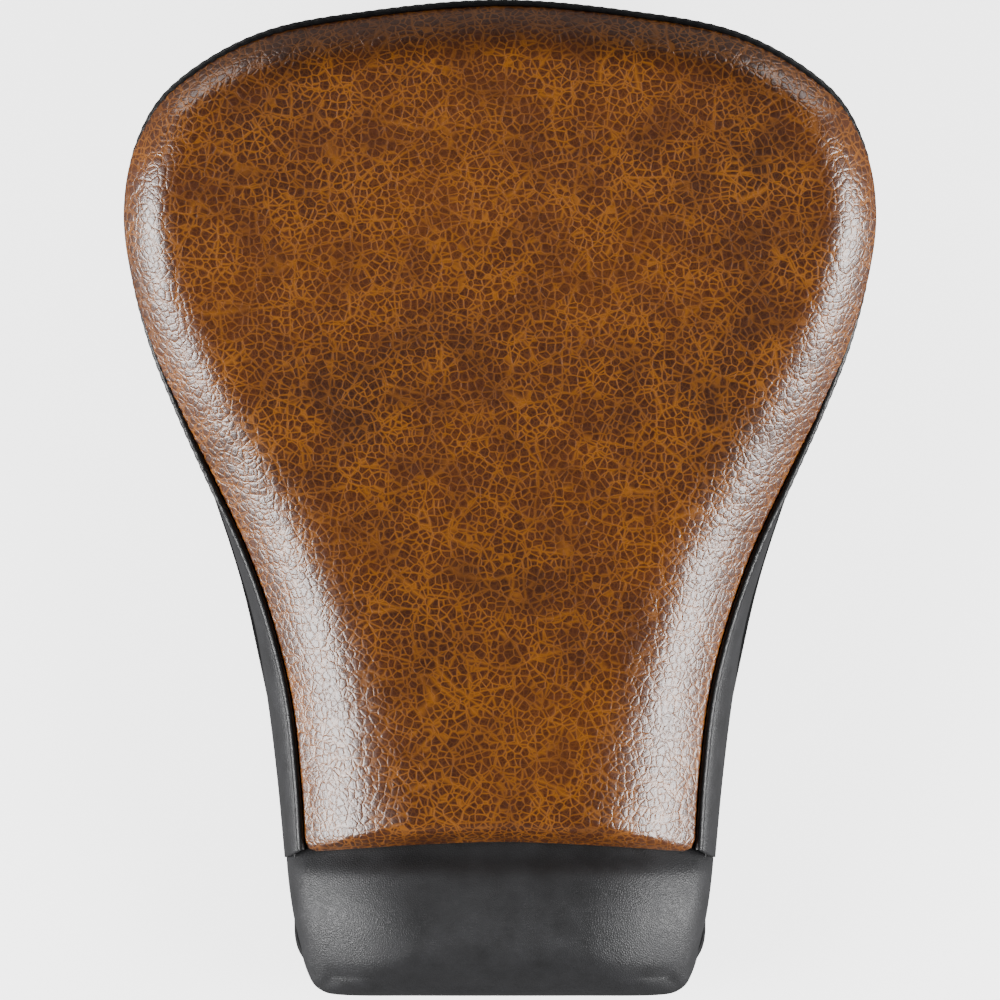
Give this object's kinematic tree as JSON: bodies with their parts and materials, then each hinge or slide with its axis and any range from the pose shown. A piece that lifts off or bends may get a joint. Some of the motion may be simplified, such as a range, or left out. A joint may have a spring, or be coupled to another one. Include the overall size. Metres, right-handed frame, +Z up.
{
  "type": "motorcycle seat",
  "caption": "Solo motorcycle seat with a brown leather cushion, charcoal vinyl sides and nose, a front hook and a rear hold-down screw.",
  "frame": {"origin": "on the surface that the rubber bumpers stand on, under the middle of the seat's length and width", "axes": "+X to the rider's right, +Y towards the tail, +Z up; the nose points to -Y"},
  "size_m": [0.3742, 0.5008, 0.1285],
  "materials": {
    "pan_plastic": "moulded, fine satin grain",
    "foam": "open-cell moulded polyurethane foam",
    "comfort_foam": "soft sewn-in foam sheet",
    "brown_leather": "distressed pebbled brown leather, waxed",
    "charcoal_vinyl": "fine-grained charcoal vinyl",
    "black_piping": "black vinyl piping",
    "zinc_steel": "zinc plated",
    "black_steel": "black powder coat",
    "bright_steel": "chrome plated",
    "brass_insert": "turned brass",
    "nylon_grommet": "black nylon",
    "black_rubber": "moulded black rubber",
    "grey_felt": "pressed wool felt"
  },
  "bodies": {
    "seat": {"seat_pan": "pan_plastic", "foam_bucket": "foam", "comfort_layer": "comfort_foam", "top_cover": "brown_leather", "side_cover_left": "charcoal_vinyl", "side_cover_right": "charcoal_vinyl", "nose_cover": "charcoal_vinyl", "welt_piping": "black_piping", "cover_rivets": "zinc_steel", "pan_edge_strip": "black_rubber", "front_hook_bracket": "black_steel", "front_backing_plate": "zinc_steel", "front_bracket_rivets": "zinc_steel", "rear_mount_tab": "black_steel", "rear_tab_bolts": "zinc_steel", "rear_tab_inserts": "brass_insert", "tab_grommet": "nylon_grommet", "bumper_front_left": "black_rubber", "bumper_front_right": "black_rubber", "bumper_middle_left": "black_rubber", "bumper_middle_right": "black_rubber", "bumper_rear_left": "black_rubber", "bumper_rear_right": "black_rubber", "fender_felt_left": "grey_felt", "fender_felt_right": "grey_felt"},
    "ring": {"retaining_ring": "bright_steel"},
    "screw": {"hold_down_screw": "bright_steel"}
  },
  "joints": [
    {"name": "screw_lift", "type": "slide", "parent": "seat", "child": "ring", "axis": [0, 0, 1], "range_m": [0, 0.0078]},
    {"name": "screw_turn", "type": "hinge", "parent": "ring", "child": "screw", "pos_m": [0, 0.2335, 0.01], "axis": [0, 0, 1], "continuous": true}
  ]
}
